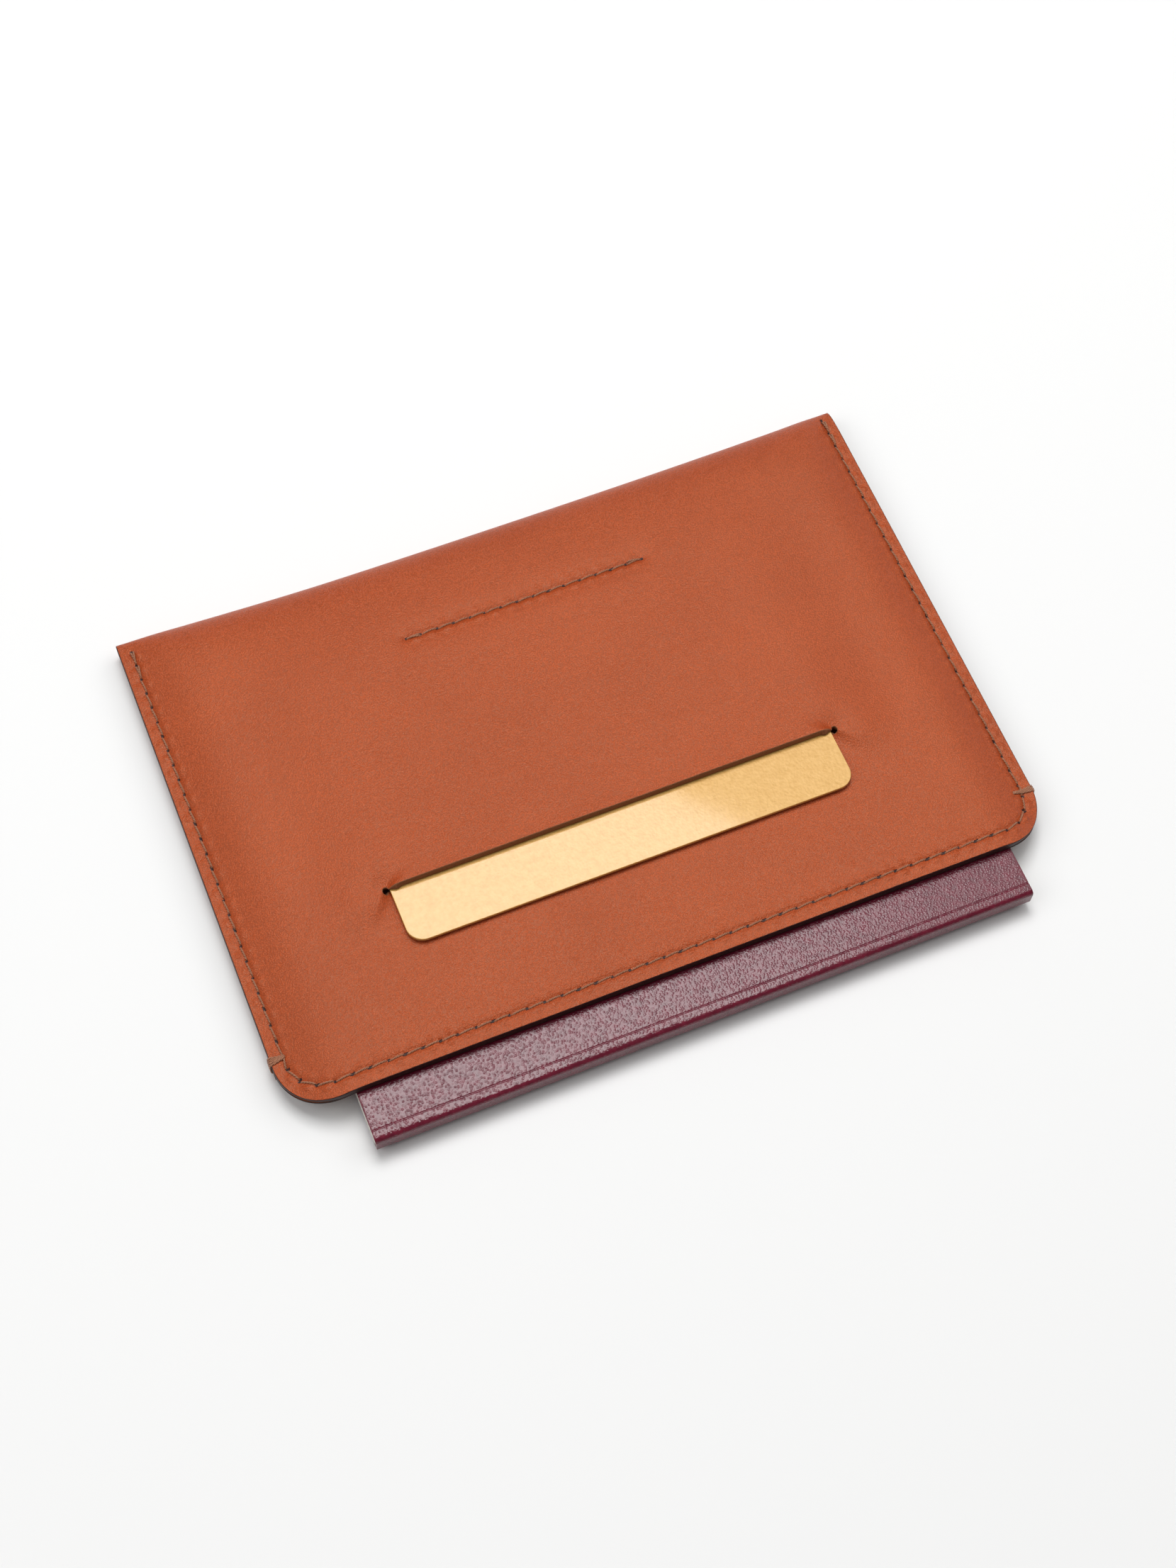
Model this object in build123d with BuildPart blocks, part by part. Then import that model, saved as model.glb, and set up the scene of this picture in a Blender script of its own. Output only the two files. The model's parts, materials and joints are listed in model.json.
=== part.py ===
from build123d import *
from math import asin, atan2, cos, degrees, radians, sin, tan
import os

# Passport sleeve: one hide folded in half, lined and stitched along three sides, with a slit
# in its front that holds a card, and a booklet that slides in at the open side.
# Millimetres. +X runs along the fold, the fold is at +Y and the mouth at -Y, +Z is up. The
# origin is the centre of the sleeve's outline, on the underside of the back panel.

# --- Driving dimensions ---------------------------------------------------------------------

# Hide, lining and thread
leather_thickness = 1.4
lining_thickness = 0.6
thread_width = 0.6
needle_thread_height = 0.25  # how far the upper thread stands out of the leather
bobbin_thread_height = 0.12  # the lower thread is pulled flat, clear of the booklet

# Booklet
booklet_width = 125.0
booklet_height = 88.0
booklet_corner_radius = 3.18
booklet_offset = 1.2  # sits this far to the right of the sleeve's middle
cover_thickness = 0.6
cover_shoulder_radius = 1.2
endpaper_thickness = 0.15
leaf_thickness = 0.12
leaf_gap = 0.03
sheet_count = 8
binding_thread_diameter = 0.3
binding_stitch_length = 14.0
binding_stitch_count = 5

# Card
card_width = 85.6
card_height = 53.98
card_thickness = 0.76
card_corner_radius = 3.18
card_offset = -0.5
card_standout = 11.4  # what shows below the slit

# Sleeve
booklet_side_clearance = 0.6
booklet_face_clearance = 0.3
side_slope_run = 5.5  # from the flat of the front down to the stitched edge
flange_width = 3.4  # stitched edge, where hide, lining and hide lie flat together
flange_lift = 1.5  # the stitched edge hangs this far above the back panel's underside
mouth_corner_radius = 10.0
back_cutback = 8.8  # the back panel's mouth edge stops this far short of the front's
fold_inner_radius = 1.5
fold_leg_angle = 30.0
flange_leg_angle = 5.0  # nearly level where the two legs lie together
fold_bow = 0.95  # the middle of the fold lies inside the line of its corners
home_clearance = 1.0  # between the booklet, pushed home, and the narrowing at the fold
home_tuck = 2.63  # how far the booklet's spine then lies inside the hem
booklet_draw = 12.08  # how far out of its home place the booklet rests

# Card pocket
card_face_clearance = 0.15
card_roof_clearance = 0.25
slit_end_clearance = 0.8
slit_hole_diameter = 1.2
pocket_flank_run = 4.0
pocket_toe_run = 1.4
pocket_toe_gap = 0.8  # from the stop seam to the foot of the pocket's roof
card_home_gap = 0.2
card_push = 1.7  # how far the card can still go in
stop_seam_from_fold = 20.45
stop_seam_length = 47.4
stop_seam_offset = 0.7

# Seams
stitch_pitch = 3.23
stitch_length = 2.5
side_seam_inset = 2.3
hem_seam_inset = 2.9
side_seam_start = 2.25  # below the fold
tack_wrap_count = 4
tack_wrap_pitch = 0.62
tack_thread = 0.42

# --- Heights that follow from them ----------------------------------------------------------

leaf_stack = sheet_count * leaf_thickness + (sheet_count - 1) * leaf_gap
binding_fold_radius = binding_thread_diameter / 2 + leaf_gap  # inside of the innermost sheet
block_radius = binding_fold_radius + leaf_stack  # outside of the outermost sheet
booklet_thickness = 2 * (block_radius + leaf_gap + endpaper_thickness + cover_thickness)

booklet_bottom = leather_thickness + booklet_face_clearance
booklet_top = booklet_bottom + booklet_thickness
booklet_middle = booklet_bottom + booklet_thickness / 2
lining_bottom = booklet_top + booklet_face_clearance
lining_top = lining_bottom + lining_thickness
front_top = lining_top + leather_thickness

flange_lining_bottom = flange_lift + leather_thickness
flange_lining_top = flange_lining_bottom + lining_thickness
flange_top = flange_lining_top + leather_thickness

# --- Plan of the sleeve ---------------------------------------------------------------------

flat_half = booklet_width / 2 + abs(booklet_offset) + booklet_side_clearance
flange_half = flat_half + side_slope_run
side_edge = flange_half + flange_width

fold_radius = fold_inner_radius + leather_thickness
arc_end = radians(90 - fold_leg_angle)
leg_slope = tan(radians(fold_leg_angle))


def leg_run(radius, top):
    """From the fold's outermost line in to where a leg leaving an arc reaches this height."""
    climb = top - fold_radius - radius * sin(arc_end)
    return fold_radius - radius * cos(arc_end) + climb / leg_slope


inner_shoulder_run = leg_run(fold_inner_radius, lining_top)
outer_shoulder_run = leg_run(fold_radius, front_top)
sleeve_depth = booklet_height + home_tuck + home_clearance + inner_shoulder_run + fold_bow

fold_y = sleeve_depth / 2
hem_y = -sleeve_depth / 2
back_edge_y = hem_y + back_cutback
fold_middle_y = fold_y - fold_bow
inner_shoulder_y = fold_middle_y - inner_shoulder_run
outer_shoulder_y = fold_middle_y - outer_shoulder_run

booklet_spine_y = hem_y + home_tuck - booklet_draw
booklet_fore_y = booklet_spine_y + booklet_height

# --- The card's slanting plane --------------------------------------------------------------

stop_seam_y = fold_y - stop_seam_from_fold
toe_y = stop_seam_y - pocket_toe_gap
roof_start_y = toe_y - pocket_toe_run
card_home_y = roof_start_y - card_home_gap
card_inner_y = card_home_y - card_push
slit_y = card_inner_y - (card_height - card_standout)
slit_half = card_width / 2 + slit_end_clearance
card_angle = atan2(leather_thickness, card_home_y - slit_y)


def card_underside(y):
    """Height of the card's underside: over the slit's lower lip, down to the lining inside."""
    return front_top + card_face_clearance - (y - slit_y) * tan(card_angle)


def roof_underside(y):
    """Height of the leather over the card, parallel to it."""
    return card_underside(y) + card_thickness / cos(card_angle) + card_roof_clearance


# --- Helpers --------------------------------------------------------------------------------


def shell_section(x, underside, top, edge, radius, leave_angle):
    """The folded hide cut across at one station: back leg, fold, rising leg, front leg."""
    centre = (edge - radius, underside + radius)
    inner_radius = radius - leather_thickness
    with BuildSketch(Plane.YZ.offset(x)) as section:
        with BuildLine():
            outer_arc = CenterArc(centre, radius, -90, 180 - leave_angle)
            inner_arc = CenterArc(centre, inner_radius, -90, 180 - leave_angle)
            Polyline(
                outer_arc @ 1,
                (outer_shoulder_y, top),
                (hem_y, top),
                (hem_y, top - leather_thickness),
                (inner_shoulder_y, top - leather_thickness),
                inner_arc @ 1,
            )
            Polyline(
                inner_arc @ 0,
                (back_edge_y, underside + leather_thickness),
                (back_edge_y, underside),
                outer_arc @ 0,
            )
        make_face()
    return section.sketch


def lining_section(x, bottom):
    """The lining cut across at one station."""
    with BuildSketch(Plane.YZ.offset(x)) as section:
        with Locations(((hem_y + inner_shoulder_y) / 2, bottom + lining_thickness / 2)):
            Rectangle(inner_shoulder_y - hem_y, lining_thickness)
    return section.sketch


def fall(x, middle, flange):
    """Height at x of a face that is flat in the middle and slopes down to the flange."""
    share = (abs(x) - flat_half) / side_slope_run
    return middle + (flange - middle) * min(max(share, 0), 1)


def slope_normal(x, middle, flange, side):
    """Outward normal of that face; side is +1 for its upper and -1 for its lower surface."""
    if flat_half < abs(x) < flange_half:
        lean = (middle - flange) / side_slope_run
        return Vector(side * lean * (1 if x > 0 else -1), 0, side)
    return Vector(0, 0, side)


def stitch_planes(path, middle, flange, side):
    """One plane for each stitch along a path in plan, lying on that face."""
    count = round(path.length / stitch_pitch)
    planes = []
    for i in range(count):
        spot = path.position_at((i + 0.5) / count)
        normal = slope_normal(spot.X, middle, flange, side)
        centre = Vector(spot.X, spot.Y, fall(spot.X, middle, flange))
        planes.append(Plane(centre, x_dir=path.tangent_at((i + 0.5) / count), z_dir=normal))
    return planes


def export(builder, label):
    """Name a finished piece and write it."""
    builder.part.label = label
    export_step(builder.part, f"parts/{label}.step")


os.makedirs("parts", exist_ok=True)

# --- Sleeve: the pocket's roof and the room under it ----------------------------------------

# The roof rises from a toe beside the stop seam, runs parallel to the card and ends at the
# slit's upper lip. Across the sleeve it falls away in a flank at each end of the slit.
with BuildPart() as pocket_roof:
    with BuildSketch(Plane.YZ.offset(card_offset)):
        with BuildLine():
            Polyline(
                (toe_y, lining_top),
                (toe_y, front_top),
                (roof_start_y, roof_underside(roof_start_y) + leather_thickness),
                (slit_y, roof_underside(slit_y) + leather_thickness),
                (slit_y, lining_top),
                close=True,
            )
        make_face()
    extrude(amount=slit_half + pocket_flank_run, both=True)
    with BuildSketch(Plane.XZ.offset(-toe_y)):
        with BuildLine():
            Polyline(
                (card_offset - slit_half - pocket_flank_run, lining_top),
                (card_offset - slit_half - pocket_flank_run, front_top),
                (card_offset - slit_half, roof_underside(slit_y) + leather_thickness),
                (card_offset + slit_half, roof_underside(slit_y) + leather_thickness),
                (card_offset + slit_half + pocket_flank_run, front_top),
                (card_offset + slit_half + pocket_flank_run, lining_top),
                close=True,
            )
        make_face()
    extrude(amount=toe_y - slit_y, mode=Mode.INTERSECT)

with BuildPart() as pocket_room:
    with BuildSketch(Plane.YZ.offset(card_offset)):
        with BuildLine():
            Polyline(
                (toe_y, lining_top),
                (roof_start_y, roof_underside(roof_start_y)),
                (slit_y, roof_underside(slit_y)),
                (slit_y, lining_top),
                close=True,
            )
        make_face()
    extrude(amount=slit_half + pocket_flank_run, both=True)
    with BuildSketch(Plane.XZ.offset(-toe_y)):
        with BuildLine():
            Polyline(
                (card_offset - slit_half - pocket_flank_run, lining_top),
                (card_offset - slit_half, roof_underside(slit_y)),
                (card_offset + slit_half, roof_underside(slit_y)),
                (card_offset + slit_half + pocket_flank_run, lining_top),
                close=True,
            )
        make_face()
    extrude(amount=toe_y - slit_y, mode=Mode.INTERSECT)

# --- Sleeve: hide and lining ----------------------------------------------------------------

flange_fold_radius = leather_thickness + lining_thickness / 2
shell_stations = [
    shell_section(x, flange_lift, flange_top, fold_y, flange_fold_radius, flange_leg_angle)
    for x in (-side_edge, -flange_half)
]
shell_stations += [
    shell_section(x, 0, front_top, fold_middle_y, fold_radius, fold_leg_angle)
    for x in (-flat_half, flat_half)
]
shell_stations += [
    shell_section(x, flange_lift, flange_top, fold_y, flange_fold_radius, flange_leg_angle)
    for x in (flange_half, side_edge)
]

with BuildPart() as outer_shell:
    for near, far in zip(shell_stations, shell_stations[1:]):
        loft([near, far], ruled=True)
    add(pocket_roof.part)
    add(pocket_room.part, mode=Mode.SUBTRACT)
    with BuildSketch(Plane.XY.offset(lining_top)):
        with Locations((card_offset - slit_half, slit_y), (card_offset + slit_half, slit_y)):
            Circle(slit_hole_diameter / 2)
    extrude(amount=front_top, mode=Mode.SUBTRACT)
    with BuildSketch(Plane.XY):
        outline = Rectangle(2 * side_edge, sleeve_depth)
        fillet(outline.vertices().group_by(Axis.Y)[0], mouth_corner_radius)
    extrude(amount=2 * front_top, mode=Mode.INTERSECT)
export(outer_shell, "outer_shell")

lining_stations = [
    lining_section(x, fall(x, lining_bottom, flange_lining_bottom))
    for x in (-side_edge, -flange_half, -flat_half, flat_half, flange_half, side_edge)
]

with BuildPart() as front_lining:
    for near, far in zip(lining_stations, lining_stations[1:]):
        loft([near, far], ruled=True)
    with BuildSketch(Plane.XY):
        lining_outline = Rectangle(2 * side_edge, sleeve_depth)
        fillet(lining_outline.vertices().group_by(Axis.Y)[0], mouth_corner_radius)
    extrude(amount=front_top, mode=Mode.INTERSECT)
export(front_lining, "front_lining")

# --- Sleeve: seams --------------------------------------------------------------------------

seam_x = side_edge - side_seam_inset
hem_seam_y = hem_y + hem_seam_inset
tack_y = back_edge_y + tack_wrap_count * tack_wrap_pitch / 2
tack_half = tack_wrap_count * tack_wrap_pitch / 2
corner_start_y = hem_y + mouth_corner_radius
hem_corner_x = side_edge - mouth_corner_radius
corner_seam_drop = corner_start_y - hem_seam_y
# The hem's stitches hold only the front, so they start beyond the back panel's edge.
hem_seam_skip = degrees(asin(max(0, corner_start_y - back_edge_y) / corner_seam_drop))

for side, name in ((-1, "left"), (1, "right")):
    with BuildLine() as side_path:
        Line((side * seam_x, fold_y - side_seam_start), (side * seam_x, tack_y + tack_half))
    side_wire = side_path.wires()[0]
    with BuildPart() as side_needle_thread:
        with BuildSketch(*stitch_planes(side_wire, front_top, flange_top, 1)):
            SlotOverall(stitch_length, thread_width)
        extrude(amount=needle_thread_height)
    export(side_needle_thread, f"{name}_seam_needle_thread")

    with BuildPart() as side_bobbin_thread:
        with BuildSketch(*stitch_planes(side_wire, 0, flange_lift, -1)):
            SlotOverall(stitch_length, thread_width)
        extrude(amount=bobbin_thread_height)
    export(side_bobbin_thread, f"{name}_seam_bobbin_thread")

    # Wraps of thread round the stitched edge, where the mouth's corner begins.
    with BuildPart() as bar_tack:
        for i in range(tack_wrap_count):
            wrap_y = tack_y + (i - (tack_wrap_count - 1) / 2) * tack_wrap_pitch
            with BuildSketch(Plane.XZ.offset(-wrap_y - tack_thread / 2)):
                with Locations((side * (seam_x + side_edge) / 2, (flange_lift + flange_top) / 2)):
                    Rectangle(
                        side_seam_inset + 2 * tack_thread,
                        flange_top - flange_lift + 2 * tack_thread,
                    )
                with Locations((side * (side_edge - side_seam_inset), flange_lift)):
                    Rectangle(
                        2 * side_seam_inset,
                        2 * (flange_top - flange_lift),
                        align=(Align.CENTER, Align.MIN),
                        mode=Mode.SUBTRACT,
                    )
            extrude(amount=tack_thread)
    export(bar_tack, f"{name}_bar_tack")

with BuildLine() as hem_path:
    left_corner = EllipticalCenterArc(
        (-hem_corner_x, corner_start_y),
        seam_x - hem_corner_x,
        corner_seam_drop,
        start_angle=180 + hem_seam_skip,
        arc_size=90 - hem_seam_skip,
    )
    hem_line = Line(left_corner @ 1, (hem_corner_x, hem_seam_y))
    EllipticalCenterArc(
        (hem_corner_x, corner_start_y),
        seam_x - hem_corner_x,
        corner_seam_drop,
        start_angle=270,
        arc_size=90 - hem_seam_skip,
    )
hem_wire = hem_path.wires()[0]

with BuildPart() as hem_seam_needle_thread:
    with BuildSketch(*stitch_planes(hem_wire, front_top, flange_top, 1)):
        SlotOverall(stitch_length, thread_width)
    extrude(amount=needle_thread_height)
export(hem_seam_needle_thread, "hem_seam_needle_thread")

with BuildPart() as hem_seam_bobbin_thread:
    with BuildSketch(*stitch_planes(hem_wire, lining_bottom, flange_lining_bottom, -1)):
        SlotOverall(stitch_length, thread_width)
    extrude(amount=bobbin_thread_height)
export(hem_seam_bobbin_thread, "hem_seam_bobbin_thread")

with BuildLine() as stop_path:
    Line(
        (stop_seam_offset - stop_seam_length / 2, stop_seam_y),
        (stop_seam_offset + stop_seam_length / 2, stop_seam_y),
    )
stop_wire = stop_path.wires()[0]

with BuildPart() as stop_seam_needle_thread:
    with BuildSketch(*stitch_planes(stop_wire, front_top, flange_top, 1)):
        SlotOverall(stitch_length, thread_width)
    extrude(amount=needle_thread_height)
export(stop_seam_needle_thread, "stop_seam_needle_thread")

with BuildPart() as stop_seam_bobbin_thread:
    with BuildSketch(*stitch_planes(stop_wire, lining_bottom, flange_lining_bottom, -1)):
        SlotOverall(stitch_length, thread_width)
    extrude(amount=bobbin_thread_height)
export(stop_seam_bobbin_thread, "stop_seam_bobbin_thread")

# --- Card -----------------------------------------------------------------------------------

card_middle_y = card_inner_y - card_height / 2
card_plane = Plane(
    (card_offset, card_middle_y, card_underside(card_middle_y)),
    x_dir=(1, 0, 0),
    z_dir=(0, sin(card_angle), cos(card_angle)),
)
with BuildPart() as card:
    with BuildSketch(card_plane):
        RectangleRounded(card_width, card_height, card_corner_radius)
    extrude(amount=card_thickness)
export(card, "card")

# --- Booklet --------------------------------------------------------------------------------

# The cover wraps the page block: front board, spine and back board in one piece.
with BuildPart() as booklet_cover:
    with BuildSketch(Plane.YZ.offset(booklet_offset - booklet_width / 2)):
        with Locations((booklet_spine_y, booklet_middle)):
            outer = Rectangle(
                booklet_height, booklet_thickness, align=(Align.MIN, Align.CENTER)
            )
        fillet(outer.vertices().group_by(Axis.Y)[0], cover_shoulder_radius)
        with Locations((booklet_spine_y + cover_thickness, booklet_middle)):
            Rectangle(
                booklet_height,
                booklet_thickness - 2 * cover_thickness,
                align=(Align.MIN, Align.CENTER),
                mode=Mode.SUBTRACT,
            )
    extrude(amount=booklet_width)
    fore_edges = booklet_cover.edges().filter_by(Axis.Z).group_by(Axis.Y)[-1]
    fillet(fore_edges, booklet_corner_radius)
export(booklet_cover, "booklet_cover")

endpaper_start_y = booklet_spine_y + cover_thickness + cover_shoulder_radius
for side, name in ((1, "front"), (-1, "back")):
    endpaper_z = booklet_middle + side * (block_radius + leaf_gap + endpaper_thickness / 2)
    with BuildPart() as endpaper:
        with BuildSketch(Plane.XY.offset(endpaper_z - endpaper_thickness / 2)):
            with Locations((booklet_offset, endpaper_start_y)):
                page = Rectangle(
                    booklet_width,
                    booklet_fore_y - endpaper_start_y,
                    align=(Align.CENTER, Align.MIN),
                )
            fillet(page.vertices().group_by(Axis.Y)[-1], booklet_corner_radius)
        extrude(amount=endpaper_thickness)
    export(endpaper, f"{name}_endpaper")

fold_centre_y = booklet_spine_y + cover_thickness + leaf_gap + block_radius
for number in range(1, sheet_count + 1):
    sheet_radius = block_radius - (number - 1) * (leaf_thickness + leaf_gap)
    with BuildPart() as page_sheet:
        with BuildSketch(Plane.YZ.offset(booklet_offset - booklet_width / 2)):
            with BuildLine():
                centre = (fold_centre_y, booklet_middle)
                outer_arc = CenterArc(centre, sheet_radius, 90, 180)
                inner_arc = CenterArc(centre, sheet_radius - leaf_thickness, 90, 180)
                for side, near_end in ((1, 0), (-1, 1)):
                    Polyline(
                        outer_arc @ near_end,
                        (booklet_fore_y, booklet_middle + side * sheet_radius),
                        (
                            booklet_fore_y,
                            booklet_middle + side * (sheet_radius - leaf_thickness),
                        ),
                        inner_arc @ near_end,
                    )
            make_face()
        extrude(amount=booklet_width)
        with BuildSketch(Plane.XY.offset(booklet_bottom)):
            with Locations((booklet_offset, booklet_spine_y)):
                leaf = Rectangle(
                    booklet_width, booklet_height, align=(Align.CENTER, Align.MIN)
                )
            fillet(leaf.vertices().group_by(Axis.Y)[-1], booklet_corner_radius)
        extrude(amount=booklet_thickness, mode=Mode.INTERSECT)
    export(page_sheet, f"page_sheet_{number}")

with BuildPart() as binding_thread:
    with BuildSketch(Plane.YZ.offset(booklet_offset - booklet_width / 2)):
        with Locations((fold_centre_y, booklet_middle)):
            Circle(binding_thread_diameter / 2)
    extrude(amount=booklet_width)
    binding_pitch = booklet_width / binding_stitch_count
    with Locations((booklet_offset, fold_centre_y, booklet_middle)):
        with GridLocations(binding_pitch, 0, binding_stitch_count, 1):
            Box(
                binding_stitch_length,
                binding_thread_diameter,
                binding_thread_diameter,
                mode=Mode.INTERSECT,
            )
export(binding_thread, "binding_thread")

print(f"sleeve {2 * side_edge:.2f} x {sleeve_depth:.2f} x {front_top:.2f}")
print(f"booklet {booklet_thickness:.2f} thick, spine at {booklet_spine_y:.2f}")
print(f"slit at {slit_y:.2f}, stop seam at {stop_seam_y:.2f}, card at {degrees(card_angle):.2f} deg")
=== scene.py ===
import json
import math

import bpy
import numpy as np
from mathutils import Matrix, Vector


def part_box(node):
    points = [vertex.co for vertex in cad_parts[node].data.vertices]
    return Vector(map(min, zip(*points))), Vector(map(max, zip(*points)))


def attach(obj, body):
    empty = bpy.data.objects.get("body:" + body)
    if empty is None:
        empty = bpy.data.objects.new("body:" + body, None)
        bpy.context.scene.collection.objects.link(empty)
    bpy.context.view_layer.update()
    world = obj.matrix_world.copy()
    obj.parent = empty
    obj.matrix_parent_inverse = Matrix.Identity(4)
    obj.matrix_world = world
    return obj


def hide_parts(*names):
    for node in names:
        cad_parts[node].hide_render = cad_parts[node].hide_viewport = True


# A leather passport sleeve with a card in its front slit and a booklet in its open side.
# Shapes are worked out in millimetres in the CAD model's frame and scaled once, where each
# mesh is made. +X runs along the fold, the fold is at +Y, the mouth at -Y, and +Z is up.

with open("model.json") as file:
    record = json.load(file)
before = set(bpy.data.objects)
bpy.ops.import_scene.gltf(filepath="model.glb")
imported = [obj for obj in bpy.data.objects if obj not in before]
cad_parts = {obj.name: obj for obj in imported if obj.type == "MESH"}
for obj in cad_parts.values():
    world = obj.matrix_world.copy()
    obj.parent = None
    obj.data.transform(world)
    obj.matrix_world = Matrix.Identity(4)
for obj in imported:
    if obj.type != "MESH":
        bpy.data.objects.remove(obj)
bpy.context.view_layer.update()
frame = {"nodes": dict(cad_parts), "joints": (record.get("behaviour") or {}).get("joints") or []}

MM = 0.001


def box_mm(node):
    """Lowest and highest corner of a CAD node at rest, in millimetres."""
    low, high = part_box(node)
    return np.array(low) / MM, np.array(high) / MM


# --- Sizes, from the frame ------------------------------------------------------------------

HIDE = 1.4  # thickness of the leather
LINING = 0.6

shell_low, shell_high = box_mm("outer_shell")
lining_low, lining_high = box_mm("front_lining")
card_low, card_high = box_mm("card")
book_low, book_high = box_mm("booklet_cover")
stop_low, stop_high = box_mm("stop_seam_needle_thread")
side_low, side_high = box_mm("right_seam_needle_thread")
hem_low, _ = box_mm("hem_seam_needle_thread")
tack_low, tack_high = box_mm("right_bar_tack")

SIDE = shell_high[0]  # the sleeve's side edges are at plus and minus this
FOLD = shell_high[1]
HEM = shell_low[1]
LINING_TOP = lining_high[2]
FRONT_TOP = LINING_TOP + HIDE
EDGE_LINING = lining_low[2]  # underside of the lining at the stitched edge
EDGE_TOP = EDGE_LINING + LINING + HIDE
EDGE_LIFT = EDGE_LINING - HIDE
MOUTH_CORNER = 10.0  # radius of the front's corners at the mouth
BACK_EDGE = tack_low[1]  # the back panel's mouth edge
TACK = (tack_low[1] + tack_high[1]) / 2
TACK_ROOM = 1.2  # from the middle of a tack to the nearest stitch hole
FOLD_BOW = 0.95  # the middle of the fold lies inside the line of its corners by this much
FOLD_LEFT_RISE = 0.7  # the fold's left end stands this much further out
BACK_RISE = (62.5, 70.4)  # distances from the middle where the back rises to its stitched edge

CARD_STANDOUT = 11.4  # what shows of the card below the slit
CARD_CENTRE = (card_low[0] + card_high[0]) / 2
CARD_HALF = (card_high[0] - card_low[0]) / 2
CARD_LENGTH = 53.98
CARD_CORNER = 3.18
CARD_THICK = 0.76
SLIT = card_low[1] + CARD_STANDOUT
SLIT_HALF = CARD_HALF + 0.8
SLIT_HOLE = 0.6  # radius of the punched hole at each end of the slit
HOLE_RISE = 1.0  # the card lifts the leather at the holes by this much
SLIT_RISE = 2.33  # and between them by this much
POCKET_RISE = 1.0  # falling to this at POCKET_END
POCKET_END = 27.5  # where the rise stops falling evenly
POCKET_FADE = (26.0, 42.0)  # between these it fades out towards the fold
LIP_RISE = 0.24  # the slit's lip stands up by this much more

card_axis = next(j for j in frame["joints"] if j["name"] == "card_slide")["axis"]
CARD_SLOPE = card_axis[2] / -card_axis[1]  # the card rises towards the mouth

SIDE_SEAM = (side_low[0] + side_high[0]) / 2
HEM_SEAM = hem_low[1] + 0.3
STOP_CENTRE = 0.7  # the stop seam is this far to the right of the middle
STOP_SEAM = (stop_low[1] + stop_high[1]) / 2
PITCH = 3.23  # from one stitch hole to the next


def smooth(value, start, end):
    """0 before start, 1 after end, and a smooth step between them."""
    t = np.clip((value - start) / (end - start), 0, 1)
    return t * t * (3 - 2 * t)


def bell(distance, width):
    """1 at no distance, falling away on both sides over about this width."""
    return np.exp(-((distance / width) ** 2))


def graded(stops):
    """Positions along a line that passes every stop, given as (position, spacing)."""
    out = [stops[0][0]]
    for (a, step_a), (b, step_b) in zip(stops, stops[1:]):
        ratio = step_b / step_a
        if abs(ratio - 1) < 1e-6:
            count = max(1, round((b - a) / step_a))
            share = np.arange(1, count + 1) / count
        else:
            count = max(1, round((b - a) * math.log(ratio) / (step_b - step_a)))
            share = (ratio ** (np.arange(1, count + 1) / count) - 1) / (ratio - 1)
        out.extend(a + (b - a) * share)
    return np.array(out)


# --- The sleeve's surfaces ------------------------------------------------------------------


def edge_share(x):
    """0 over the booklet, 1 at the stitched edge, where the two panels are drawn together."""
    start = np.where(x > 0, book_high[0] - 4.7, -book_low[0] - 4.3)
    along = np.clip((np.abs(x) - start) / (SIDE - 0.8 - start), 0, 1)
    return smooth(along**1.6, 0.0, 1.0)


def card_top(y):
    """Height of the card's upper face."""
    inner = card_low[2] + CARD_THICK
    return inner + (card_high[1] - y) * CARD_SLOPE


def past_slit(x):
    """How far a point is beyond the nearer end of the slit."""
    return np.abs(x - CARD_CENTRE) - SLIT_HALF


def pinch(x, y):
    """How strongly the nearer end of the slit draws the leather in."""
    beyond = past_slit(x)
    above = np.maximum(y - SLIT, 0)
    across = beyond / np.where(beyond < 0, 1.1 + 0.9 * above, 4.2 + 0.3 * above)
    along = (y - SLIT) / 3.4
    return np.exp(-(across**2) - along**2)


def card_rise_above(x, y):
    """How far the card lifts the leather that lies over it."""
    fall = (SLIT_RISE - POCKET_RISE) / (POCKET_END - SLIT)
    plateau = POCKET_RISE + (POCKET_END - np.minimum(y, POCKET_END)) * fall
    plateau = plateau * (1 - smooth(y, *POCKET_FADE))
    side = 1 - smooth(np.abs(x - CARD_CENTRE), CARD_HALF - 1.0, CARD_HALF + 15.0)
    rise = plateau * side
    drawn = pinch(x, y)
    rise = rise * (1 - drawn) + HOLE_RISE * drawn
    lip = np.exp(-np.maximum(y - SLIT, 0) / 2.0)
    inside = smooth(-past_slit(x), 0.6, 4.0)
    rise = rise + LIP_RISE * lip * inside
    seam = bell(y - STOP_SEAM, 2.4) * (1 - smooth(np.abs(x - STOP_CENTRE), 23.0, 27.5))
    return rise - 0.42 * seam


def card_rise_below(x, y):
    """The same on the mouth side of the slit, where the card lies on the leather."""
    at_slit = card_rise_above(x, np.full_like(y, SLIT))
    below = np.maximum(SLIT - y, 0)
    outside = smooth(past_slit(x) + 0.9, 0, 1.4 + 0.9 * below)
    fade = (1 - smooth(below, 0.0, 10.0)) ** 1.5
    pressed = -0.10 * (1 - outside) * (1 - smooth(below, 0.0, 8.0))
    return at_slit * outside * fade + pressed


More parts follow.
